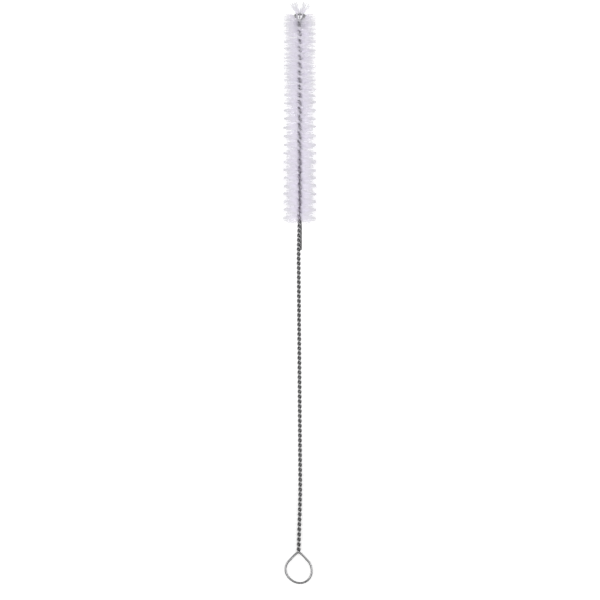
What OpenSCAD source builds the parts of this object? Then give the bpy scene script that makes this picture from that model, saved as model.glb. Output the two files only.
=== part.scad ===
// Small bottle brush for test tubes, twisted from one steel wire, with a tufted tip and a hanging loop.
// It lies at rest on its loop's outer end and on the lowest bristles of its head, with the tip towards +Y.
//
// The wire starts at a cut end beside the top of the stem, runs straight up the collar, climbs through the head
// as the first leg, bends over the tip's eye, comes down as the second leg and the stem, bends round the loop,
// and climbs back round the stem to its other cut end just under the bristles. The legs wind left-handed.

/* [Wire] */
// Diameter of the wire
wire_d = 0.7; // [0.5:0.05:0.7]
// Gap between the two legs of the stem
stem_gap = 0.06; // [0.06:0.01:0.2]
// Gap between the two legs of the head, which holds the filaments
head_gap = 0.36; // [0.34:0.01:0.5]

/* [Loop] */
// Radius of the hanging loop, to the middle of the wire
loop_r = 4.48; // [3.5:0.1:6]
// Distance from the loop's round to the point where its two sides cross
neck_l = 1.67; // [1:0.01:4]
// Skew of the hand-bent loop, as a share of its radius
loop_skew = 0.06; // [0:0.001:0.08]
// Sideways offset of the loop's centre
loop_shift = -0.4; // [-0.8:0.05:0.8]

/* [Stem] */
// Length of the stem, from the loop's crossing to the cut end at the foot of the collar
stem_l = 103.6; // [80:0.1:140]
// Whole turns of the two legs along the stem
stem_turns = 31; // [20:1:36]
// How much tighter than the middle of the stem its upper end is wound
stem_tightening = 0.038; // [0:0.001:0.08]
// Sideways offset of the stem's axis from the head's axis
stem_shift = -0.42; // [-0.6:0.02:0]
// Sideways bow of the stem
stem_bow = 0.6; // [-0.8:0.05:0.8]

/* [Collar] */
// Length of the collar, where all three legs run together
collar_l = 9.6; // [9:0.1:11]
// Turns of the stem's two legs along the collar
collar_turns = 2.75; // [2.75:1:3.75]

/* [Head] */
// Length of the head, from the upper cut end to the foot of the eye
head_l = 68.8; // [66:0.1:90]
// Turns of the two legs along the head
head_turns = 12.5; // [8.5:1:12.5]
// Largest lag of the twist, in turns, where the head was wound unevenly
lag_turns = 0.22; // [0:0.01:0.25]
// Diameter of a filament
bristle_d = 0.18; // [0.12:0.01:0.18]
// Diameter of the brush across its longest filaments
brush_d = 11.7; // [8:0.1:16]
// Distance along the wire from one filament to the next
bristle_step = 0.205; // [0.205:0.005:0.4]
// Largest angle by which a filament strays from its place in the spiral
bristle_stray = 21; // [0:1:21]

/* [Tip] */
// Width of the eye at the tip, to the middle of the wire
eye_w = 3.3; // [3.1:0.1:4]
// Height of the eye, to the middle of the wire
eye_h = 2.5; // [2.4:0.1:3.4]
// Length of the tuft beyond the middle of the eye's bar
tuft_l = 4.5; // [3:0.1:8]
// Angle by which the topmost filaments of the head rise towards the tip
tip_lift = 26; // [0:1:28]
// Folded filaments in each of the tuft's two clumps
tuft_count = 4; // [3:1:4]

/* [Hidden] */
wire_r = wire_d / 2;
bristle_r = bristle_d / 2;
brush_r = brush_d / 2;

// Heights along the axis, from the loop's outer end
loop_y = wire_r + loop_r;
loop_neck = loop_r + neck_l;
crossing = loop_y + loop_neck;
stem_top = crossing + stem_l;
collar_top = stem_top + collar_l;
head_top = collar_top + head_l;
bar_y = head_top + eye_h;
tip_y = bar_y + tuft_l;

// Distance of the legs' middles from the axis of the stem and of the head
stem_r = (wire_d + stem_gap) / 2;
head_r = (wire_d + head_gap) / 2;
// Part of a turn that the stem's twist gains by its upper end
stem_lead = 0.17;
// Height below the collar's top at which the two legs stop winding
leave_l = 0.84;
leave = collar_top - leave_l;
// How far the third leg's cut end springs aside
end_splay = 0.25;
// Height over which the second leg opens out from there into the head
open_l = 1.9;
// Angle from the front at which the first leg's straight part lies beside the twist, and its gap from it
lay_angle = 149;
lay_gap = 0.03;
// Height below the collar's top at which the first leg begins to swing in, and the height that takes
swing_start = 1.2;
swing_l = 1.5;

wire_sides = 7;
rings_per_turn = 7;
swing_rings = 5;
half_eye_rings = 8;
neck_rings = 6;
loop_rings = 28;

bristle_fn = 16;
bent_sides = 8;
// Height of the lowest filament above the upper cut end, and of the highest below the eye's foot
bristle_margin = 1;
first_bristle = collar_top + bristle_margin;
last_bristle = head_top - bristle_margin / 2;
bristle_count = floor((last_bristle - first_bristle) / bristle_step) + 1;
turn_count = ceil(head_turns);
// Steps of the two even sequences that stray and trim the filaments without a pattern
stray_ratio = 0.618034;
trim_ratio = 0.754878;
// Largest shortening of a filament's end
bristle_trim = 0.5;
// Height above which the filaments begin to rise
lift_y = head_top - 4;
// Distances of a clump's innermost and outermost filaments from the middle of the bar, and their leans
clump_x = [0.48, 1.14];
clump_lean = [11, 19];

// Rest: the loop's end and the head's lowest filaments touch the ground
rest_tilt = asin((brush_r - wire_r) / (first_bristle - loop_y / 2));
rest_z = wire_r / cos(rest_tilt);
middle_y = tip_y * cos(rest_tilt) / 2;

// Smooth step from 0 to 1
function ease(u) = let (v = max(0, min(1, u))) v * v * (3 - 2 * v);
function mix(p, q, u) = p + (q - p) * u;
function unit(v) = v / norm(v);
// Direction straight out from the axis, at an angle from the front
function across(angle) = [sin(angle), 0, cos(angle)];
// The part of n that is left after its whole number
function part_of(n) = n - floor(n);
// Point at u on the Bezier curve with four control points
function bezier(p, u) =
    pow(1 - u, 3) * p[0] + 3 * pow(1 - u, 2) * u * p[1] + 3 * (1 - u) * u * u * p[2] + pow(u, 3) * p[3];

// Sideways place of the axis at height y: it moves over to the stem's side from the head's foot down to the
// stem's top, and below that it is bowed like a tent with a rounded ridge
shift_foot = stem_top - 3;
shift_l = collar_l + 10.4;
bow_place = 0.2;
bow_round = 0.12;
function bowed(u) =
    let (rise = u / bow_place, fall = (1 - u) / (1 - bow_place))
    max(0, (rise + fall - norm([rise - fall, bow_round])) / 2);
function sway(y) =
    stem_shift * (1 - ease((y - shift_foot) / shift_l)) + stem_bow * bowed((y - crossing) / stem_l);

// Angle of the returning leg in the stem and the collar
function pair_angle(y) =
    let (u = max(0, min(1, (y - crossing) / stem_l)))
    let (v = max(0, min(1, (y - stem_top) / (leave - stem_top))))
    -360 * ((stem_turns + stem_lead) * (u - stem_tightening * u * (1 - u)) + collar_turns * v);

// Angle of the first leg in the head, whose twist falls behind around the middle
lag_y = collar_top + 0.54 * head_l;
lag_l = 0.14 * head_l;
function lag(y) = lag_turns * exp(-pow((y - lag_y) / lag_l, 2));
function first_angle(y) = 90 - 360 * (head_turns * (y - collar_top) / head_l - lag(y));

function axis_at(y) = [sway(y), y, 0];

// Middle of the first leg: straight beside the collar's twist, then round the head's axis
straight_at = axis_at(leave) + (stem_r + wire_d + lay_gap) * across(lay_angle);
function first_leg(y) =
    mix(
        [straight_at.x, y, straight_at.z],
        axis_at(y) + head_r * across(first_angle(y)),
        ease((y - collar_top + swing_start) / swing_l)
    );

// Middle of the second leg: round the stem's axis, then opposite the first leg round the head's
function second_leg(y) =
    mix(
        axis_at(y) - stem_r * across(pair_angle(y)),
        axis_at(y) - head_r * across(first_angle(y)),
        ease((y - leave) / open_l)
    );

// Middle of the third leg: round the stem's axis, then straight on and aside to its cut end
leave_slope = 2 * PI * stem_r * collar_turns / (leave - stem_top);
function third_leg(y) =
    let (over = max(0, y - leave))
    axis_at(y) + stem_r * across(pair_angle(y)) + over * leave_slope * across(pair_angle(leave) - 90)
        - [end_splay * pow(over / leave_l, 2), 0, 0];

// The eye: each half is a curve that rises from one leg's end, swells outwards and closes along the bar. Its
// outer control point lies further out than the eye is wide, by the share that brings the curve to that width.
eye_reach = 0.965;
eye_swell = 0.35;
eye_shoulder = 0.57;
eye_slant = 0.3;
function eye_half(foot, side) =
    let (out = side * across(first_angle(head_top)))
    [
        foot,
        foot + eye_swell * out + [0, eye_shoulder * eye_h, -eye_slant * side],
        axis_at(bar_y) + eye_reach * eye_w * out,
        axis_at(bar_y)
    ];
first_half = eye_half(first_leg(head_top), 1);
second_half = eye_half(second_leg(head_top), -1);

// The loop's round, skewed a little in its lower half, and the two sides that run up to the crossing
neck_angle = asin(loop_r / loop_neck);
neck_pull = 0.3 * loop_neck;
function loop_at(angle) =
    let (skew = loop_skew * sin(2 * angle) * (1 - sin(angle)) / 2)
    [loop_shift, loop_y, 0] + loop_r * (1 - skew) * [cos(angle), sin(angle), 0];
function loop_side(foot, angle, turn) =
    [
        foot,
        foot + neck_pull * [turn * tan(neck_angle), -1, 0],
        loop_at(angle) - neck_pull * turn * [sin(angle), -cos(angle), 0],
        loop_at(angle)
    ];
left_side = loop_side(second_leg(crossing), 180 - neck_angle, -1);
right_side = loop_side(third_leg(crossing), neck_angle, 1);

collar_rings = ceil(collar_turns * rings_per_turn);
head_rings = ceil(head_turns * rings_per_turn);
stem_rings = stem_turns * rings_per_turn;
// The returning leg's rings lie half a step from the second leg's, so that the two never cut into each other
half_ring = stem_l / stem_rings / 2;

wire_path = [
    first_leg(stem_top),
    for (i = [0:swing_rings]) first_leg(collar_top - swing_start * (1 - i / swing_rings)),
    for (i = [1:head_rings]) first_leg(mix(collar_top, head_top, i / head_rings)),
    for (i = [1:half_eye_rings]) bezier(first_half, i / half_eye_rings),
    for (i = [half_eye_rings - 1:-1:0]) bezier(second_half, i / half_eye_rings),
    for (i = [head_rings - 1:-1:0]) second_leg(mix(collar_top, head_top, i / head_rings)),
    for (i = [1:-1:0]) second_leg(mix(leave, collar_top, i / 2)),
    for (i = [collar_rings - 1:-1:0]) second_leg(mix(stem_top, leave, i / collar_rings)),
    for (i = [stem_rings - 1:-1:0]) second_leg(mix(crossing, stem_top, i / stem_rings)),
    for (i = [1:neck_rings]) bezier(left_side, i / neck_rings),
    for (i = [1:loop_rings - 1]) loop_at(mix(180 - neck_angle, 360 + neck_angle, i / loop_rings)),
    for (i = [neck_rings:-1:0]) bezier(right_side, i / neck_rings),
    for (i = [0:stem_rings - 1]) third_leg(mix(crossing, stem_top, i / stem_rings) + half_ring),
    for (i = [0:collar_rings - 1]) third_leg(mix(stem_top, leave, (i + 0.5) / collar_rings)),
    for (i = [0:2]) third_leg(mix(leave, collar_top, i / 2))
];

module at_rest() {
    translate([0, -middle_y, rest_z])
        rotate([rest_tilt, 0, 0])
            children();
}

// A round bar swept along a path, with each ring's first corner turned to the front
module swept(path, r, sides) {
    last = len(path) - 1;
    rings = [
        for (i = [0:last])
            let (along = unit(path[min(i + 1, last)] - path[max(i - 1, 0)]))
            let (front = unit([0, 0, 1] - along.z * along))
            let (side = cross(along, front))
            for (k = [0:sides - 1])
                path[i] + r * (cos(360 * k / sides) * front + sin(360 * k / sides) * side)
    ];
    walls = [
        for (i = [0:last - 1], k = [0:sides - 1])
            let (a = i * sides + k, b = i * sides + (k + 1) % sides)
            each [[a, a + sides, b], [b, a + sides, b + sides]]
    ];
    caps = [[for (k = [0:sides - 1]) k], [for (k = [sides - 1:-1:0]) last * sides + k]];
    polyhedron(points = rings, faces = concat(walls, caps));
}

module wire() {
    color([0.6, 0.6, 0.62])
        at_rest()
            swept(wire_path, wire_r, wire_sides);
}

// One filament through the axis, square to the line between the two legs that hold it.
// The topmost ones are bent into a shallow V.
module bristle(index) {
    y = first_bristle + index * bristle_step;
    stray = bristle_stray * (2 * part_of(index * stray_ratio) - 1);
    near = brush_r - bristle_trim * part_of(index * trim_ratio);
    far = brush_r - bristle_trim * part_of((index + 0.5) * trim_ratio);
    lift = tip_lift * ease((y - lift_y) / (last_bristle - lift_y));
    translate(axis_at(y))
        rotate([0, first_angle(y) + stray, 0])
            if (lift == 0)
                translate([-far, 0, 0])
                    rotate([0, 90, 0])
                        cylinder(r = bristle_r, h = near + far, $fn = bristle_fn);
            else
                swept(
                    [[-far, far * tan(lift), 0], [0, 0, 0], [near, near * tan(lift), 0]],
                    bristle_r, bent_sides
                );
}

// The filaments of one turn of the head's twist
module bristle_turn(turn) {
    color([0.88, 0.87, 0.91])
        at_rest()
            for (index = [0:bristle_count - 1]) {
                y = first_bristle + index * bristle_step;
                if (floor((y - collar_top) / head_l * head_turns) == turn - 1) bristle(index);
            }
}

// Point of the bar at a distance from its middle: the part of the half eye that holds it is halved again and again
bar_halvings = 12;
bar_from = 0.7;
function on_bar(half, distance, low = bar_from, high = 1, halvings = bar_halvings) =
    let (u = (low + high) / 2, point = bezier(half, u))
    halvings == 0 ? point
        : abs(point.x - half[3].x) > distance ? on_bar(half, distance, u, high, halvings - 1)
        : on_bar(half, distance, low, u, halvings - 1);

// One filament folded under the eye's bar, with both ends standing up
tuft_fold_r = wire_r + bristle_d;
module folded_bristle(place, lean) {
    leg = tuft_l / cos(lean);
    translate(place)
        rotate([0, 0, -lean]) {
            rotate([0, -90, 0])
                rotate([0, 0, 180])
                    rotate_extrude(angle = 180, $fn = 4 * bristle_fn)
                        translate([tuft_fold_r, 0])
                            circle(r = bristle_r, $fn = bristle_fn);
            for (side = [-1, 1])
                translate([0, 0, side * tuft_fold_r])
                    rotate([-90, 0, 0])
                        cylinder(r = bristle_r, h = leg, $fn = bristle_fn);
        }
}

// Two clumps that part in a V
module tip_tuft() {
    color([0.9, 0.9, 0.92])
        at_rest()
            for (half = [first_half, second_half], i = [0:tuft_count - 1])
                let (u = i / (tuft_count - 1))
                    folded_bristle(
                        on_bar(half, mix(clump_x[0], clump_x[1], u)),
                        sign(half[0].x - half[3].x) * mix(clump_lean[0], clump_lean[1], u)
                    );
}

wire();
for (turn = [1:turn_count])
    bristle_turn(turn);
tip_tuft();
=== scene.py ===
# Bottle brush: one twisted steel wire, nylon filaments in its head, and a folded tuft at the tip.
# Shapes are worked out in millimetres in the brush's own lying frame (x across, y along the axis from the
# loop's outer end, z to the front), and placed in metres at rest by placed().
import math
import bpy
import numpy as np
from mathutils import Matrix


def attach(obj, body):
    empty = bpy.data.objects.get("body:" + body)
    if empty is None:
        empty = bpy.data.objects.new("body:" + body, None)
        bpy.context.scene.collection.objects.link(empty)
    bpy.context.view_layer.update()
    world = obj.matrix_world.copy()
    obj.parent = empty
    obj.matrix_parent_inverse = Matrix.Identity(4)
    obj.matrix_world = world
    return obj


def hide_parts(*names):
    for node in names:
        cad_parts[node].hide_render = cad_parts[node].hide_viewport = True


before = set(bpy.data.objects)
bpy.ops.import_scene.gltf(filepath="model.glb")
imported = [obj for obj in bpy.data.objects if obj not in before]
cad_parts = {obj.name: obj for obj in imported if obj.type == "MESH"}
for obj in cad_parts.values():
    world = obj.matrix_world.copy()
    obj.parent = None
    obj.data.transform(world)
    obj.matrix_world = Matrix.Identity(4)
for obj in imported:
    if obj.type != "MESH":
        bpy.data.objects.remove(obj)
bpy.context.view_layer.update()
print("frame loaded:", sorted(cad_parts))


# Sizes shared by all pieces
brush = {
    "wireRadius": 0.35,
    "loopY": 4.83,           # height of the loop's centre
    "crossing": 10.98,       # where the loop's two sides cross
    "stemTop": 114.58,       # foot of the collar
    "collarTop": 124.18,     # where the third leg ends
    "headTop": 192.98,       # foot of the eye
    "barY": 195.48,          # middle of the eye's bar
    "tipY": 199.98,
    "brushRadius": 5.85,
    "firstFilament": 125.18,
    "partY": 147.0,          # below it the filaments part before the wire, above it they close over it
    "partLength": 8.0,
}

twist = {
    "stemTurns": 31.17,
    "tightening": 0.038,     # how much tighter the stem's upper end is wound
    "collarTurns": 2.75,     # up to where the two legs stop winding
    "headTurns": 12.5,
    "lagTurns": 0.22,        # how far the twist falls behind in the middle of the head
    "lagPlace": 0.54,        # shares of the head's length
    "lagLength": 0.14,
    "stemRadius": 0.38,      # from the axis to a leg's middle, in the stem
    "headRadius": (0.44, 0.53),  # the same in the lower and upper parts of the head
    "widenY": 143.0,         # where the one gives way to the other, and over what height
    "widenLength": 8.0,
    "leave": 123.34,         # height at which the two legs stop winding
    "openLength": 1.9,       # height over which the second leg opens out from there
    "layAngle": 149.0,       # degrees from the front at which the first leg lies beside the collar's twist
    "layRadius": 1.11,
    "swingStart": 122.98,    # where the first leg begins to swing in
    "swingLength": 1.5,
    "endSplay": 0.25,        # how far the third leg's cut end springs aside
    "shift": -0.42,          # the stem's axis beside the head's
    "shiftBelow": 3.0,       # how far below the collar the shift begins to ease off
    "shiftBeyond": 10.4,     # how much longer than the collar the height is over which it does
    "bow": 0.6,              # sideways bow of the stem
    "bowPlace": 0.2,
    "bowRound": 0.12,
}
stemLength = brush["stemTop"] - brush["crossing"]
collarLength = brush["collarTop"] - brush["stemTop"]
headLength = brush["headTop"] - brush["collarTop"]

# The brush lies on the loop's end and on the head's lowest filaments
restRun = brush["firstFilament"] - brush["loopY"] / 2
restTilt = math.asin((brush["brushRadius"] - brush["wireRadius"]) / restRun)
restZ = brush["wireRadius"] / math.cos(restTilt)
middleY = brush["tipY"] * math.cos(restTilt) / 2


def placed(points):
    # points in the brush's frame, tilted about x, moved to rest, in metres
    x, y, z = points[..., 0], points[..., 1], points[..., 2]
    cosTilt, sinTilt = math.cos(restTilt), math.sin(restTilt)
    return np.stack([x, y * cosTilt - z * sinTilt - middleY, y * sinTilt + z * cosTilt + restZ], -1) * 0.001


def ease(u):
    # smooth step from 0 to 1
    v = np.clip(u, 0, 1)
    return v * v * (3 - 2 * v)


def mixed(a, b, u):
    return a + (b - a) * u


def unit(v):
    return v / np.linalg.norm(v, axis=-1, keepdims=True)


def across(angle):
    # direction straight out from the axis, at an angle from the front
    return np.stack([np.sin(angle), 0 * angle, np.cos(angle)], -1)


def bezier(p, u):
    # curve with four control points: the weights are the cubic Bernstein shares of u
    u = u[:, None]
    return (1 - u) ** 3 * p[0] + 3 * (1 - u) ** 2 * u * p[1] + 3 * (1 - u) * u ** 2 * p[2] + u ** 3 * p[3]


def sway(y):
    # sideways place of the axis: the stem's shift, eased off up to the head's foot, plus a bow like a tent
    # whose ridge is rounded: half of rise + fall - sqrt((rise - fall)^2 + round^2)
    easing = ease((y - brush["stemTop"] + twist["shiftBelow"]) / (collarLength + twist["shiftBeyond"]))
    u = (y - brush["crossing"]) / stemLength
    rise = u / twist["bowPlace"]
    fall = (1 - u) / (1 - twist["bowPlace"])
    bowed = np.maximum(0, (rise + fall - np.hypot(rise - fall, twist["bowRound"])) / 2)
    return twist["shift"] * (1 - easing) + twist["bow"] * bowed


def axisAt(y):
    return np.stack([sway(y), y, 0 * y], -1)


def pairAngle(y):
    # angle of the returning leg: the turns wound up to height y, a little tighter towards the stem's top
    u = np.clip((y - brush["crossing"]) / stemLength, 0, 1)
    v = np.clip((y - brush["stemTop"]) / (twist["leave"] - brush["stemTop"]), 0, 1)
    stem = twist["stemTurns"] * (u - twist["tightening"] * u * (1 - u))
    return -2 * math.pi * (stem + twist["collarTurns"] * v)


def headTurn(y):
    # turns wound up to height y in the head: an even twist, less a bell-shaped lag around the middle
    lagY = brush["collarTop"] + twist["lagPlace"] * headLength
    lag = twist["lagTurns"] * np.exp(-((y - lagY) / (twist["lagLength"] * headLength)) ** 2)
    return twist["headTurns"] * (y - brush["collarTop"]) / headLength - lag


def firstAngle(y):
    # angle of the first leg in the head
    return math.pi / 2 - 2 * math.pi * headTurn(y)


def legRadius(y):
    # the legs lie closer together in the lower part of the head
    return mixed(*twist["headRadius"], ease((y - twist["widenY"]) / twist["widenLength"]))[:, None]


def upperPart(y):
    # 0 in the lower part of the head, 1 in its upper part
    return ease((y - brush["partY"] + brush["partLength"] / 2) / brush["partLength"])


def firstLeg(y):
    # straight beside the collar's twist, then round the head's axis
    lay = np.array(math.radians(twist["layAngle"]))
    foot = axisAt(np.array(twist["leave"])) + twist["layRadius"] * across(lay)
    low = np.stack([foot[0] + 0 * y, y, foot[2] + 0 * y], -1)
    high = axisAt(y) + legRadius(y) * across(firstAngle(y))
    return mixed(low, high, ease((y - twist["swingStart"]) / twist["swingLength"])[:, None])


def secondLeg(y):
    # round the stem's axis, then opposite the first leg
    low = axisAt(y) - twist["stemRadius"] * across(pairAngle(y))
    high = axisAt(y) - legRadius(y) * across(firstAngle(y))
    return mixed(low, high, ease((y - twist["leave"]) / twist["openLength"])[:, None])


def thirdLeg(y):
    # round the stem's axis, then straight on and aside to its cut end
    over = np.maximum(0, y - twist["leave"])[:, None]
    slope = 2 * math.pi * twist["stemRadius"] * twist["collarTurns"] / (twist["leave"] - brush["stemTop"])
    onward = slope * across(pairAngle(np.array(twist["leave"])) - math.pi / 2)
    aside = twist["endSplay"] * (over / (brush["collarTop"] - twist["leave"])) ** 2 * np.array([-1, 0, 0])
    return axisAt(y) + twist["stemRadius"] * across(pairAngle(y)) + over * onward + aside


def tubes(paths, wide, thick, sides, front=(0, 0, 1)):
    # closed bars along many paths at once: each ring is path + wide * cos(a) * front + thick * sin(a) * side,
    # where front is square to the path. paths is (bars, rings, 3); wide and thick are (bars, rings).
    ahead = np.concatenate([paths[:, 1:], paths[:, -1:]], 1)
    behind = np.concatenate([paths[:, :1], paths[:, :-1]], 1)
    along = unit(ahead - behind)
    face = np.broadcast_to(np.asarray(front, float), paths.shape)
    face = unit(face - (face * along).sum(-1, keepdims=True) * along)
    side = np.cross(along, face)
    a = 2 * math.pi * np.arange(sides) / sides
    toFace = wide[..., None, None] * np.cos(a)[:, None] * face[:, :, None]
    toSide = thick[..., None, None] * np.sin(a)[:, None] * side[:, :, None]
    out = toFace + toSide
    return paths[:, :, None] + out, unit(out)


def tubeFaces(bars, rings, sides):
    # walls between neighbouring rings, and one flat cap at each end
    start = np.arange(bars)[:, None, None] * rings * sides
    ring = np.arange(rings - 1)[None, :, None] * sides
    corner = np.arange(sides)[None, None, :]
    a = start + ring + corner
    b = start + ring + (corner + 1) % sides
    walls = np.stack([a, a + sides, b + sides, b], -1).reshape(-1, 4)
    low = (start[:, 0] + np.arange(sides)).tolist()
    high = (start[:, 0] + (rings - 1) * sides + np.arange(sides - 1, -1, -1)).tolist()
    return walls.tolist() + low + high


def addPiece(name, points, faces, sharp=50):
    # edges sharper than this angle in degrees stay sharp
    mesh = bpy.data.meshes.new(name)
    mesh.from_pydata(points.reshape(-1, 3).tolist(), [], faces)
    mesh.shade_smooth()
    mesh.set_sharp_from_angle(angle=math.radians(sharp))
    piece = bpy.data.objects.new(name, mesh)
    bpy.context.scene.collection.objects.link(piece)
    return piece


def addField(piece, name, values):
    # a vector for each vertex, which the materials read
    field = piece.data.attributes.new(name, "FLOAT_VECTOR", "POINT")
    field.data.foreach_set("vector", np.ascontiguousarray(values, np.float32).ravel())


class Term:
    # wraps one output socket, so that shader sums are written as plain sums
    def __init__(self, tree, socket=None):
        self.tree = tree
        self.socket = socket

    def node(self, kind, settings=None, sockets=None, out=0):
        # any node: its type, its settings, then the values or links of its sockets
        made = self.tree.nodes.new(kind)
        for name, value in (settings or {}).items():
            setattr(made, name, value)
        for name, value in (sockets or {}).items():
            if isinstance(value, Term):
                self.tree.links.new(value.socket, made.inputs[name])
            else:
                made.inputs[name].default_value = value
        return Term(self.tree, made.outputs[out] if len(made.outputs) else None)

    def maths(self, operation, a, b=0.0):
        return self.node("ShaderNodeMath", {"operation": operation}, {0: a, 1: b})

    def __add__(self, other):
        return self.maths("ADD", self, other)

    def __mul__(self, other):
        return self.maths("MULTIPLY", self, other)

    def above(self, low, high):
        # smooth mask: 0 at low, 1 at high
        return self.node("ShaderNodeMapRange", {"interpolation_type": "SMOOTHSTEP"},
                         {"Value": self, "From Min": low, "From Max": high})

    def colours(self, a, b):
        # mix of two colours by this value
        return self.node("ShaderNodeMix", {"data_type": "RGBA"}, {0: self, 6: a, 7: b}, 2)

    def noise(self, scale, detail=2.0, roughness=0.5):
        return self.node("ShaderNodeTexNoise", {"noise_dimensions": "3D"},
                         {"Vector": self, "Scale": scale, "Detail": detail, "Roughness": roughness})

    def stretched(self, share):
        # the same place, drawn out along z
        return self.node("ShaderNodeMapping", None, {"Vector": self, "Scale": (1, 1, share)})

    def outputs(self, *names):
        # all or some of the outputs of this value's own node
        made = self.socket.node.outputs
        return [Term(self.tree, made[name]) for name in names or range(len(made))]

    def parts(self):
        return self.node("ShaderNodeSeparateXYZ", None, {0: self}).outputs()


def field(g, name):
    return g.node("ShaderNodeAttribute", {"attribute_name": name}, None, "Vector")


def objectPlace(g):
    return g.node("ShaderNodeTexCoord", None, None, "Object")


def newMaterial(name):
    material = bpy.data.materials.new(name)
    material.use_nodes = True
    material.node_tree.nodes.clear()
    return material, Term(material.node_tree)


def finished(material, shader):
    shader.node("ShaderNodeOutputMaterial", None, {"Surface": shader})
    return material


steelLook = {
    "bright": (0.35, 0.35, 0.355, 1),
    "dull": (0.27, 0.27, 0.27, 1),
    # painted shade in the grooves where the twisted legs meet
    "grooveShade": (0.035, 0.035, 0.034, 1),
    "shaded": (0.28, 0.25, 0.31, 1),   # among the filaments
    "edge": (0.45, 0.45, 0.45, 1),     # reflections at a grazing angle
    "roughness": (0.16, 0.32),
    "grooveFull": 0.7,       # how squarely the surface faces the axis where the painted groove shade is full
    "grooveRough": 0.25,
    "lineScale": 9.0,        # die lines: how fine, and how far they are drawn out along the wire
    "lineStretch": 0.03,
    "patchScale": 1.1,       # rubbed patches
    "patchStretch": 0.6,
    "rubbed": (0.4, 0.66),
    "grainScale": 9000.0,
    "bump": 0.35,
    "streakDepth": 0.00001,
}


def steelWire():
    # drawn steel: long die lines, dull patches where the twisting has rubbed it, painted shade in the grooves
    look = steelLook
    material, g = newMaterial("drawnSteel")
    grain = field(g, "grain")              # around the wire twice, then along it, in wire radii
    grooveShade, inHead = field(g, "marks").parts()[:2]
    dieLines = grain.stretched(look["lineStretch"]).noise(look["lineScale"], 3.0, 0.6)
    rubbed = grain.stretched(look["patchStretch"]).noise(look["patchScale"]).above(*look["rubbed"])
    colour = (dieLines * 0.5 + rubbed * 0.5).colours(look["bright"], look["dull"])
    # painted shade in the grooves where the twisted legs meet
    colour = grooveShade.above(0.0, look["grooveFull"]).colours(colour, look["grooveShade"])
    colour = inHead.colours(colour, look["shaded"])
    low, high = look["roughness"]
    worn = rubbed * (high - low) * 0.6 + dieLines * (high - low) * 0.4
    roughness = worn + grooveShade * look["grooveRough"] + low
    height = dieLines * 0.7 + objectPlace(g).noise(look["grainScale"]) * 0.3
    bump = g.node("ShaderNodeBump", None, {
        "Height": height, "Strength": look["bump"], "Distance": look["streakDepth"]})
    shader = g.node("ShaderNodeBsdfPrincipled", None, {
        "Base Color": colour, "Metallic": 1.0, "Roughness": roughness, "Specular Tint": look["edge"],
        "Normal": bump})
    return finished(material, shader)


nylonLook = {
    "core": (0.965, 0.95, 0.99, 1),    # along a filament: close to the wire, on the way, at the cut tip
    "body": (0.985, 0.975, 1.0, 1),
    "tip": (0.985, 0.985, 0.99, 1),
    "bodyFrom": (0.05, 0.35),          # shares of the length over which one gives way to the next
    "tipFrom": (0.7, 0.92),
    "shade": (0.93, 0.92, 0.95, 1),    # uneven milkiness
    "mottleScale": 2600.0,
    "mottle": 0.12,
    "packedShade": (0.13, 0.115, 0.19, 1),  # painted shade where filaments lie tightly together
    "dark": (0, 0, 0, 1),
    # painted light: emission colours for the milky body and the tips
    "glow": (0.87, 0.8, 1.0, 1),
    "glowFrom": (0.05, 0.3),
    "tipGlow": (0.5, 0.49, 0.57, 1),
    "tipGlowFrom": (0.5, 0.95),
    "packedDark": 0.4,
    "glowStrength": 0.105,
    "roughness": 0.38,
    "roughSpread": 0.2,
    "transmission": 0.1,
    "alpha": (0.55, 0.5),              # clear filaments let the wire show through, their tips most
    "alphaFrom": (0.4, 0.95),
}


def nylonFilament():
    # milky nylon: a little darker (painted shade) and bluer near the wire, clearer at the cut tips, each
    # filament its own tone. painted shade darkens the densely lying roots, top and folds. the faint glow is
    # painted light that stands in for the light that clear filaments hand on to each other where they lie
    # densely
    look = nylonLook
    material, g = newMaterial("milkyNylon")
    reach, tone, packedShade = field(g, "marks").parts()
    # the darker core colour close to the wire is painted shade
    colour = reach.above(*look["bodyFrom"]).colours(look["core"], look["body"])
    colour = reach.above(*look["tipFrom"]).colours(colour, look["tip"])
    mottled = objectPlace(g).noise(look["mottleScale"]) * look["mottle"] + tone * look["mottle"]
    colour = mottled.colours(colour, look["shade"])
    # painted shade where filaments lie tightly together: roots in the parting, the top close to the wire, the
    # tuft's folds
    colour = packedShade.colours(colour, look["packedShade"])
    # painted light: an emission in the body and at the tips, none where the painted shade lies
    glow = reach.above(*look["glowFrom"]).colours(look["dark"], look["glow"])
    glow = reach.above(*look["tipGlowFrom"]).colours(glow, look["tipGlow"])
    glow = packedShade.above(0, look["packedDark"]).colours(glow, look["dark"])
    inner, outer = look["alpha"]
    opacity = reach.above(*look["alphaFrom"]) * (outer - inner) + inner
    shader = g.node("ShaderNodeBsdfPrincipled", None, {
        "Base Color": colour, "Roughness": tone * look["roughSpread"] + look["roughness"], "IOR": 1.53,
        "Emission Color": glow, "Emission Strength": look["glowStrength"],
        "Transmission Weight": look["transmission"], "Alpha": opacity})
    return finished(material, shader)


steel = steelWire()
nylon = nylonFilament()
print("materials made")


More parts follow.
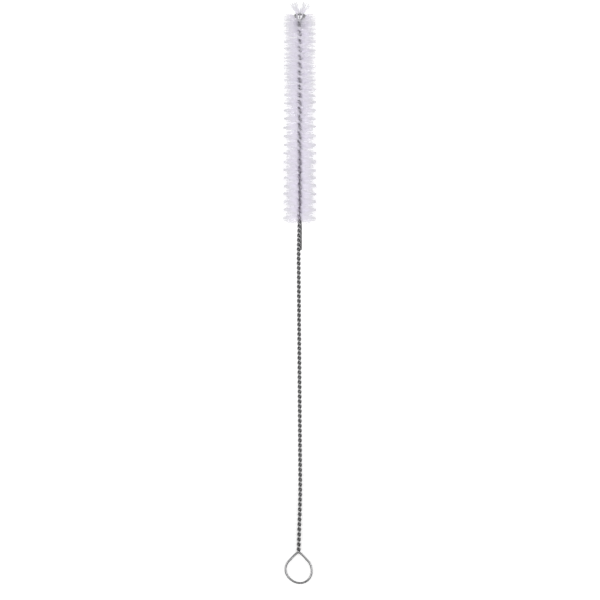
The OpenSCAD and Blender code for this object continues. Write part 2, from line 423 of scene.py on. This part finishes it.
wireForm = {
    "sides": 14,
    "ringsPerTurn": 22,
    "collarRings": 1.4,      # rings in the collar, for each of the others
    "eyeRings": 22,          # in each half of the eye
    "neckRings": 18,
    "loopRings": 90,
    "loopRadius": 4.48,
    "loopSkew": 0.06,        # the hand-bent round is fuller on the right
    "loopShift": -0.4,
    "neckBulge": 12.0,       # degrees by which the loop's sides leave the crossing wider than straight ones
    "neckPull": (0.3, 0.15),
    "eyeWidth": 3.3,
    "eyeReach": 0.965,
    "eyeSwell": 0.35,
    "eyeShoulder": 0.57,
    "eyeSlant": 0.3,
    "nipLength": 0.32,       # length of the pinch that the cutters left at each end
    "nipThickness": 0.45,
    "nipSwell": 0.03,
    "shaded": (0.7, 0.2),    # how much of its shaded colour the wire has in the head's lower and upper parts
    "shadedFoot": (0.4, 1.2),    # how far below the head's foot that begins, and over what length
    "shadedEnd": (1.0, 2.0),     # how far below the eye it begins to end, and over what length
}


def eyeHalf(foot, side):
    # rises from one leg's end, swells outwards and closes along the bar
    form = wireForm
    eyeHeight = brush["barY"] - brush["headTop"]
    out = side * across(firstAngle(np.array(brush["headTop"])))
    bar = axisAt(np.array(brush["barY"]))
    shoulder = np.array([0, form["eyeShoulder"] * eyeHeight, -form["eyeSlant"] * side])
    swollen = foot + form["eyeSwell"] * out + shoulder
    return [foot, swollen, bar + form["eyeReach"] * form["eyeWidth"] * out, bar]


def loopAt(angle):
    # a circle whose lower half is skewed by a share of sin(2 angle)
    skew = wireForm["loopSkew"] * np.sin(2 * angle) * (1 - np.sin(angle)) / 2
    r = wireForm["loopRadius"] * (1 - skew)
    x = wireForm["loopShift"] + r * np.cos(angle)
    return np.stack([x, brush["loopY"] + r * np.sin(angle), 0 * angle], -1)


def loopSide(foot, angle, turn):
    # from the crossing to the loop's round, which it meets at this angle without a kink
    neck = brush["crossing"] - brush["loopY"]
    leaving = math.asin(wireForm["loopRadius"] / neck) + math.radians(wireForm["neckBulge"])
    footPull, endPull = (share * neck for share in wireForm["neckPull"])
    end = loopAt(np.array(angle))
    return [foot, foot + footPull * np.array([turn * math.sin(leaving), -math.cos(leaving), 0]),
            end - endPull * turn * np.array([math.sin(angle), -math.cos(angle), 0]), end]


def wirePath():
    # the whole wire from its lower cut end to its upper one, ring by ring
    form = wireForm
    per = form["ringsPerTurn"]
    crossing, headTop = brush["crossing"], brush["headTop"]
    one = lambda height: np.array([height])
    stem = np.linspace(crossing, brush["stemTop"], int(twist["stemTurns"] * per))
    collarRings = int(twist["collarTurns"] * per * form["collarRings"])
    collar = np.linspace(brush["stemTop"], brush["collarTop"], collarRings)
    head = np.linspace(brush["collarTop"], headTop, int(twist["headTurns"] * per))
    half = np.linspace(0, 1, form["eyeRings"])
    side = np.linspace(0, 1, form["neckRings"])
    firstHalf = eyeHalf(firstLeg(one(headTop))[0], 1)
    secondHalf = eyeHalf(secondLeg(one(headTop))[0], -1)
    neckAngle = math.asin(form["loopRadius"] / (crossing - brush["loopY"]))
    left = loopSide(secondLeg(one(crossing))[0], math.pi - neckAngle, -1)
    right = loopSide(thirdLeg(one(crossing))[0], neckAngle, 1)
    arc = np.linspace(math.pi - neckAngle, 2 * math.pi + neckAngle, form["loopRings"])
    return np.concatenate([
        firstLeg(collar), firstLeg(head)[1:], bezier(firstHalf, half)[1:], bezier(secondHalf, half[::-1])[1:],
        secondLeg(head[::-1])[1:], secondLeg(collar[::-1])[1:], secondLeg(stem[::-1])[1:],
        bezier(left, side)[1:], loopAt(arc)[1:-1], bezier(right, side[::-1]),
        thirdLeg(stem)[1:], thirdLeg(collar)[1:]])


def makeWire():
    form = wireForm
    sides = form["sides"]
    radius = brush["wireRadius"]
    path = wirePath()
    height = path[:, 1]
    step = np.linalg.norm(np.diff(path, axis=0), axis=1)
    along = np.concatenate([[0], np.cumsum(step)])
    fromEnd = np.minimum(along, along[-1] - along)
    nip = 1 - ease(fromEnd / form["nipLength"])
    wide = radius * (1 + form["nipSwell"] * nip)
    thick = radius * (1 - (1 - form["nipThickness"]) * nip)
    points, normals = tubes(path[None], wide[None], thick[None], sides)
    # how squarely the surface faces the axis that the legs are twisted round, only where there is a twist:
    # the mask of the painted groove shade
    inward = axisAt(height) - path
    inward[:, 1] = 0
    inward = inward / np.maximum(np.linalg.norm(inward, axis=1, keepdims=True), 0.2)
    facing = (normals[0] * inward[:, None]).sum(-1)
    twisted = ease((height - brush["crossing"] + 1) / 2) * (1 - ease(height - brush["headTop"]))
    grooveShade = np.clip(facing, 0, 1) * twisted[:, None]
    a = 2 * math.pi * np.arange(sides) / sides
    grain = [np.cos(a), np.sin(a), along[:, None] / radius]
    below, over = form["shadedFoot"]
    inHead = ease((height - brush["collarTop"] + below) / over)
    below, over = form["shadedEnd"]
    inHead = inHead * (1 - ease((height - brush["headTop"] + below) / over))
    inHead = inHead * mixed(*form["shaded"], upperPart(height))
    piece = addPiece("twistedWire", placed(points), tubeFaces(1, len(path), sides))
    addField(piece, "grain", np.stack([np.broadcast_to(part, grooveShade.shape) for part in grain], -1))
    addField(piece, "marks", np.stack([grooveShade, inHead[:, None] + 0 * grooveShade, 0 * grooveShade], -1))
    piece.data.materials.append(steel)
    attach(piece, "root")
    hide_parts("wire")
    print("wire:", len(path), "rings,", round(along[-1]), "mm long")


makeWire()


headForm = {
    "seed": 11,
    "step": 0.0115,          # distance along the wire between neighbouring filaments
    "jitter": 0.4,
    "radius": 0.045,
    "sides": 4,
    "foot": 124.75,          # heights of the lowest and the highest filament
    "top": 193.8,
    "layer": 0.13,           # how far from the axis the filaments lie between the two legs
    "reach": 5.75,           # longest filament end from the axis
    "trim": 0.25,            # how uneven the ends of one tuft are
    "tuftTrim": 0.2,         # how uneven the tufts are
    "trimPower": 1.5,
    "places": (0.09, 0.25, 0.6, 0.79, 1.0),  # shares of a filament's length at which it may bend
    "draw": (0.6, 0.79),     # shares of a filament's length between which it draws to its tuft
    "tufts": (4, 4),         # in each turn, below and above changeY: filaments whose tips draw together
    "tuftPull": 0.48,
    "pullSpread": (0.8, 1.15),
    "changeY": 161.0,        # height at which the winding gets uneven
    "changeLength": 6.0,     # height over which that and the change at partY come about
    "stray": 10.0,           # degrees, each filament by itself
    "lowerStray": 8.0,       # degrees, whole tufts, below changeY
    "upperStray": 70.0,      # degrees, the tip of each filament, above it
    "strayTurn": (2, 12),    # how soon a filament in the twist's order, and one out of it, takes its own way
    "droop": 3.0,            # degrees up or down
    "lowerDroop": 0.15,      # millimetres up or down, whole tufts' tips
    "upperDroop": 0.4,
    "looseShare": 0.4,       # filaments that lie out to the sides, out of the twist's order, and end short
    "looseStray": 40.0,
    "looseReach": (0.77, 0.85),
    "clear": 0.2,            # how far those that point to the front or back part, in the head's lower part
    "squeeze": 0.5,          # share by which they draw together instead, in its upper part
    "underEye": 189.8,       # height at which they part again, under the eye
    "underEyeLength": 1.5,
    "rootReach": 0.5,        # how far out from the axis a root goes
    "rootShade": 0.3,        # darkness of the roots that show in the parting
    "topLength": 3.6,        # height over which the topmost ones differ as follows
    "topRise": 1.9,          # how far they rise close to the wire, before they level out
    "backRise": 0.2,         # share of that rise for those that point straight to the back
    "frontRise": 0.2,        # further share for those in front of the eye
    "frontWidth": 0.3,
    "fountain": (0.5, 1.3),  # how far from the axis the rise or drop begins, and over what length
    "topTrim": 0.035,        # share by which they are shorter
    "topStray": 28.0,        # degrees from the sides
    "topShade": 0.15,        # painted shade on the densely filled top, close to the wire
    "shadeHeight": (5.2, 2.5),   # how far below the top it begins, and over what height
    "shadeReach": (1.4, 3.0),    # how far from the axis it begins to fade, and over what length
    "footLength": 1.6,       # height over which the lowest ones differ as follows
    "footDrop": (0.0, 1.5),  # how far they drop close to the wire
    "footThin": 0.7,         # share of them that are missing
    "footRaise": 0.5,        # how much higher than the twist has them the lowest tufts are
    "raiseFrom": 2.0,        # how far above the foot that begins to lessen, and over what height
    "raiseLength": 9.0,
    "groundGap": 0.00002,    # metres
}


def makeHead():
    # every filament crosses the axis between the two legs, and both its halves run out straight but for a
    # share "draw" of the way, with which the outer part bends towards the middle of its tuft
    form = headForm
    rng = np.random.default_rng(form["seed"])
    first, last = form["foot"], form["top"]
    count = int((last - first) / form["step"])
    y = first + form["step"] * (np.arange(count) + rng.uniform(-form["jitter"], form["jitter"], count))
    angle = firstAngle(y) + math.pi / 2
    loose = rng.uniform(0, 1, count) < form["looseShare"]
    top = ease((y - last + form["topLength"]) / form["topLength"])
    highest = ease(2 * top - 1)
    foot = 1 - ease((y - first) / form["footLength"])
    sparse = rng.uniform(0, 1, count) < foot * form["footThin"]

    # tufts, apart for the two sides (first axis: left, right). their middles lie at even parts of the twist,
    # and 1000 keeps the numbers of the head's two parts apart
    upper = y > form["changeY"]
    lowerTufts, upperTufts = form["tufts"]
    tuft = np.round(headTurn(y) * np.where(upper, upperTufts, lowerTufts)) + 1000 * upper
    tuft = np.unique(tuft, return_inverse=True)[1]
    tufts = tuft.max() + 1
    tuftY = np.bincount(tuft, y) / np.bincount(tuft)
    raised = form["footRaise"] * (1 - ease((tuftY - first - form["raiseFrom"]) / form["raiseLength"]))
    uneven = ease((tuftY - form["changeY"]) / form["changeLength"])
    tuftDroop = mixed(form["lowerDroop"], form["upperDroop"], uneven)
    own = lambda values: values[..., tuft]
    together = own(rng.normal(0, 1, (2, tufts)) * math.radians(form["lowerStray"]))
    together = together + firstAngle(own(tuftY)) - firstAngle(y)
    apart = rng.normal(0, 1, (2, count)) * math.radians(form["upperStray"])
    aside = mixed(together, apart, own(uneven))
    above = np.clip(own(tuftY + raised + rng.normal(0, 1, (2, tufts)) * tuftDroop), first, last) - y
    # those that point to the front or back keep apart in the lower part, or they would hide the wire
    drawn = ease((tuftY - brush["partY"]) / form["changeLength"])
    drawn = mixed(np.sin(firstAngle(tuftY) + math.pi / 2) ** 2, 1, drawn)[tuft]
    pull = own(form["tuftPull"] * rng.uniform(*form["pullSpread"], (2, tufts))) * drawn * ~loose
    length = form["reach"] - own(rng.uniform(0, 1, (2, tufts)) ** form["trimPower"]) * form["tuftTrim"]
    length = length - rng.uniform(0, 1, (2, count)) * form["trim"]
    length = length * (1 - form["topTrim"] * top)
    length = np.where(loose, form["reach"] * rng.uniform(*form["looseReach"], (2, count)), length)
    sideOn = np.maximum(loose, highest)
    stray = mixed(np.where(loose, form["looseStray"], form["stray"]), form["topStray"], highest)
    stray = rng.normal(0, 1, (2, count)) * np.radians(stray)
    stray = stray + sideOn * (math.pi / 2 - angle % math.pi)
    lift = rng.normal(0, 1, (2, count)) * math.radians(form["droop"]) * (1 - 0.5 * top)
    drop = rng.uniform(*form["footDrop"], (2, count)) * foot

    # one column for each ring, from the left tip through the axis to the right one
    places = np.array(form["places"])
    reach = np.concatenate([-places[::-1], [0], places])
    share = abs(reach)
    side = (reach > 0).astype(int)
    half = lambda values: values[side].T
    drawFrom, drawTo = form["draw"]
    draw = half(pull) * ease((share - drawFrom) / (drawTo - drawFrom))
    ownWay = np.minimum(1, share * mixed(*form["strayTurn"], sideOn)[:, None]) * (1 - draw)
    turned = angle[:, None] + half(stray) * ownWay + half(aside) * draw
    radius = reach * half(length) * np.cos(half(lift))
    # the topmost ones rise only where they run out to the sides of the eye
    rising = form["topRise"] * top[:, None] * mixed(form["backRise"], 1, abs(np.sin(turned)))
    rising = rising * mixed(1, form["frontRise"], ease(np.sign(reach) * np.cos(turned) / form["frontWidth"]))
    begins, over = form["fountain"]
    fountain = (rising - half(drop)) * ease((abs(radius) - begins) / over)
    rise = share * half(length) * np.sin(half(lift)) * (1 - draw) + half(above) * draw + fountain
    layer = rng.uniform(-1, 1, count)[:, None] * form["layer"] * across(firstAngle(y))
    bars = (axisAt(y) + layer)[:, None] + radius[..., None] * across(turned)
    bars[..., 1] += rise
    closed = upperPart(y) * (1 - ease((y - form["underEye"]) / form["underEyeLength"]))
    sideways = radius * np.sin(turned)
    hand = np.where(reach > 0, np.sign(sideways[:, -1:]), np.sign(sideways[:, :1]))
    shift = mixed(form["clear"] * hand, -form["squeeze"] * sideways, closed[:, None])
    outside = ease(abs(radius) / form["rootReach"])
    bars[..., 0] += shift * np.cos(turned) ** 2 * outside
    # painted shade: darker roots in the parting and a darker top close to the wire, handed to the material in
    # marks
    root = form["rootShade"] * (1 - upperPart(y))[:, None] * (1 - outside)
    below, height = form["shadeHeight"]
    packedShade = ease((y - last + below) / height)[:, None]
    begins, over = form["shadeReach"]
    root = root + form["topShade"] * packedShade * (1 - ease((abs(radius) - begins) / over))

    thick = np.full(bars.shape[:2], form["radius"])
    points = placed(tubes(bars, thick, thick, form["sides"], front=(0, 1, 0))[0])
    # what would reach into the ground lies on it
    points[..., 2] = np.maximum(points[..., 2], form["groundGap"])
    tone = rng.uniform(0, 1, count)
    turns = math.ceil(twist["headTurns"])
    turn = np.clip(np.floor((y - brush["collarTop"]) / headLength * twist["headTurns"]), 0, turns - 1)
    for k in range(turns):
        pick = (turn == k) & ~sparse
        faces = tubeFaces(pick.sum(), len(reach), form["sides"])
        piece = addPiece(f"headTurn{k + 1:02d}", points[pick], faces)
        marks = np.zeros(points[pick].shape)
        marks[..., 0] = share[None, :, None]
        marks[..., 1] = tone[pick][:, None, None]
        marks[..., 2] = root[pick][:, :, None]
        addField(piece, "marks", marks)
        piece.data.materials.append(nylon)
        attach(piece, "root")
        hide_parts(f"bristle_turn_{k + 1:02d}")
    print("head:", count, "filaments,", count * (len(reach) - 1) * form["sides"] * 2, "triangles")


makeHead()


tuftForm = {
    "seed": 23,
    "count": 104,            # folded filaments in each of the two clumps
    "radius": 0.045,
    "sides": 4,
    "strandRings": 6,
    "foldRings": 7,
    "foot": (0.7, 1.12),     # places along the eye's bar
    "middle": 36,            # filaments of each clump that come up through the middle of the eye
    "middleFoot": (0.0, 0.2),
    "middleLean": (0.7, 3.0),    # their share of the others' lean, and degrees more
    "middleDrop": 0.9,       # their shares of the others' drop and length
    "middleLength": 0.5,
    "lean": (12.5, 8.5),     # degrees out from the axis, left and right
    "leanStray": 7.5,
    "wildShare": 0.4,        # filaments that lean out anywhere up to wildLean
    "wildLean": 48.0,
    "curve": 0.25,           # share of the lean that comes only towards the end
    "drop": (0.75, 1.65),    # how far the folds hang below the bar's middle: least share, and most
    "narrowing": 0.12,       # share by which a fold lies closer to the axis at its lowest point
    "depth": (0.43, 0.14),   # distance of the strands in front of and behind the bar's middle, and its spread
    "pinch": 0.12,           # how far the strands draw in again above the bar
    "spread": (6.0, 9.0),    # degrees to the front and back, and their scatter
    "length": 4.4,
    "uneven": 2.4,
    "unevenPower": 1.6,
    "shade": (0.22, 0.5),    # darkness of the folds, beside and in the middle of the eye
    "shadeHeight": 1.2,      # how far above the bar it fades
    "footReach": 0.6,        # the share of a head filament's length whose look the feet have
    "reachHeight": 3.0,      # how far above the bar they look like its tip
}


def makeTuft():
    # each filament hangs in a fold through the eye, in front of and behind the bar, and leans out with its
    # clump
    form = tuftForm
    rng = np.random.default_rng(form["seed"])
    n = form["count"]
    middle = np.arange(n) < form["middle"]
    s = np.linspace(0, 1, form["strandRings"])[None]
    u = np.linspace(0, math.pi, form["foldRings"])
    leanShare, leanMore = form["middleLean"]
    leastDrop, mostDrop = form["drop"]
    lines = []
    for side in (-1, 1):
        t = rng.uniform(0, 1, n)
        foot = side * np.where(middle, mixed(*form["middleFoot"], t), mixed(*form["foot"], t))
        wild = rng.uniform(0, 1, n) < form["wildShare"]
        wildLean = rng.uniform(0, form["wildLean"], n)
        lean = np.where(wild, wildLean, form["lean"][side > 0] + rng.normal(0, form["leanStray"], n))
        lean = side * np.radians(np.where(middle, leanShare * lean + leanMore, lean))
        drop = mostDrop * rng.uniform(leastDrop, 1, n) * np.where(middle, form["middleDrop"], 1)
        depth = form["depth"][0] + rng.uniform(0, form["depth"][1], n)
        strands = []
        for face in (1, -1):
            length = form["length"] - form["uneven"] * rng.uniform(0, 1, n) ** form["unevenPower"]
            length = length * np.where(middle, form["middleLength"], 1) * np.cos(lean)
            spread = np.radians(rng.normal(0, 1, n) * form["spread"][1] + form["spread"][0])
            rise = s * length[:, None]
            x = foot[:, None] + np.tan(lean)[:, None] * rise * mixed(1 - form["curve"], 1, s)
            z = depth[:, None] + np.tan(spread)[:, None] * rise * s - form["pinch"] * np.sin(math.pi * s)
            strands.append(np.stack([x, brush["barY"] + rise, face * z], -1))
        # down the front strand, round the fold, and up the back strand
        fold = np.stack([foot[:, None] * (1 - form["narrowing"] * np.sin(u)),
                         brush["barY"] - drop[:, None] * np.sin(u), depth[:, None] * np.cos(u)], -1)
        lines.append(np.concatenate([strands[0][:, ::-1], fold[:, 1:-1], strands[1]], 1))
    bars = np.concatenate(lines)
    thick = np.full(bars.shape[:2], form["radius"])
    points = tubes(bars, thick, thick, form["sides"], front=(1, 0, 0))[0]
    piece = addPiece("tipTuft", placed(points), tubeFaces(len(bars), bars.shape[1], form["sides"]))
    above = bars[..., 1] - brush["barY"]
    # painted shade on the folds, beside and in the middle of the eye
    beside, within = form["shade"]
    shade = np.where(np.tile(middle, 2), within, beside)[:, None]
    marks = np.zeros(points.shape)
    marks[..., 0] = mixed(form["footReach"], 1, ease(above / form["reachHeight"]))[..., None]
    marks[..., 1] = rng.uniform(0, 1, len(bars))[:, None, None]
    marks[..., 2] = (shade * (1 - ease(above / form["shadeHeight"])))[..., None]
    addField(piece, "marks", marks)
    piece.data.materials.append(nylon)
    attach(piece, "root")
    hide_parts("tip_tuft")
    print("tuft:", len(bars), "filaments")


makeTuft()


studio = {
    "floorSize": 4.0,
    "floorColour": (0.86, 0.86, 0.86, 1),
    "floorGlow": 0.36,       # seen by the camera and in reflections only
    "worldLevel": 0.34,
    "sidePlace": (0.75, 0, 0.62),
    "sideWatts": 4.4,
    "sideSize": (1.3, 0.6),
    "topPlace": (0, 0, 1.5),
    "topWatts": 4.0,
    "topSize": (1.6, 0.15),  # wide and thin, for a narrow gleam on the wire
    "focal": 200.0,
    "sensor": 36.0,
    "frameWidth": 205.92,    # millimetres across the view at the brush
    "aim": (0.0686, 97.47),  # what the view's middle shows, in the brush's frame
}


def makeFloor():
    half = studio["floorSize"] / 2
    corners = [(-half, -half, 0), (half, -half, 0), (half, half, 0), (-half, half, 0)]
    mesh = bpy.data.meshes.new("studioFloor")
    mesh.from_pydata(corners, [], [(0, 1, 2, 3)])
    floor = bpy.data.objects.new("studioFloor", mesh)
    bpy.context.scene.collection.objects.link(floor)
    material, g = newMaterial("studioFloor")
    rays = g.node("ShaderNodeLightPath").outputs("Is Camera Ray", "Is Glossy Ray", "Is Transmission Ray")
    seen = g.maths("MAXIMUM", g.maths("MAXIMUM", rays[0], rays[1]), rays[2])
    shader = g.node("ShaderNodeBsdfPrincipled", None, {
        "Base Color": studio["floorColour"], "Roughness": 0.9, "Specular IOR Level": 0.0,
        "Emission Color": (1, 1, 1, 1), "Emission Strength": seen * studio["floorGlow"]})
    mesh.materials.append(finished(material, shader))


def makeWorld():
    world = bpy.data.worlds.new("studioWorld")
    world.use_nodes = True
    world.node_tree.nodes.clear()
    g = Term(world.node_tree)
    seen = g.node("ShaderNodeLightPath", None, None, "Is Camera Ray")
    level = studio["worldLevel"]
    glow = g.node("ShaderNodeBackground", None, {
        "Color": (1, 1, 1, 1), "Strength": seen * (1 - level) + level})
    g.node("ShaderNodeOutputWorld", None, {"Surface": glow})
    bpy.context.scene.world = world


def aim(thing, target):
    # local -Z towards the target, local Y as near to +Y as it can be
    back = unit(np.array(thing.location, float) - np.array(target, float))
    right = unit(np.cross((0, 1, 0), back))
    up = np.cross(back, right)
    thing.rotation_euler = Matrix(np.stack([right, up, back], 1).tolist()).to_euler()


def addLamp(name, place, size, watts):
    data = bpy.data.lights.new(name, "AREA")
    data.shape = "RECTANGLE"
    data.size, data.size_y = size
    data.energy = watts
    lamp = bpy.data.objects.new(name, data)
    lamp.location = place
    aim(lamp, (0, 0, 0))
    bpy.context.scene.collection.objects.link(lamp)


def makeCamera():
    data = bpy.data.cameras.new("camera")
    data.lens = studio["focal"]
    data.sensor_width = studio["sensor"]
    data.clip_start, data.clip_end = 0.01, 20.0
    distance = studio["focal"] / studio["sensor"] * studio["frameWidth"]
    camera = bpy.data.objects.new("camera", data)
    x, y = studio["aim"]
    camera.location = placed(np.array([x, y, distance]))
    aim(camera, placed(np.array([x, y, 0.0])))
    bpy.context.scene.collection.objects.link(camera)
    bpy.context.scene.camera = camera


makeFloor()
makeWorld()
sideX, sideY, sideZ = studio["sidePlace"]
addLamp("leftBox", (-sideX, sideY, sideZ), studio["sideSize"], studio["sideWatts"])
addLamp("rightBox", (sideX, sideY, sideZ), studio["sideSize"], studio["sideWatts"])
addLamp("topBox", studio["topPlace"], studio["topSize"], studio["topWatts"])
makeCamera()
bpy.context.scene.view_settings.view_transform = "Standard"
print("studio made")
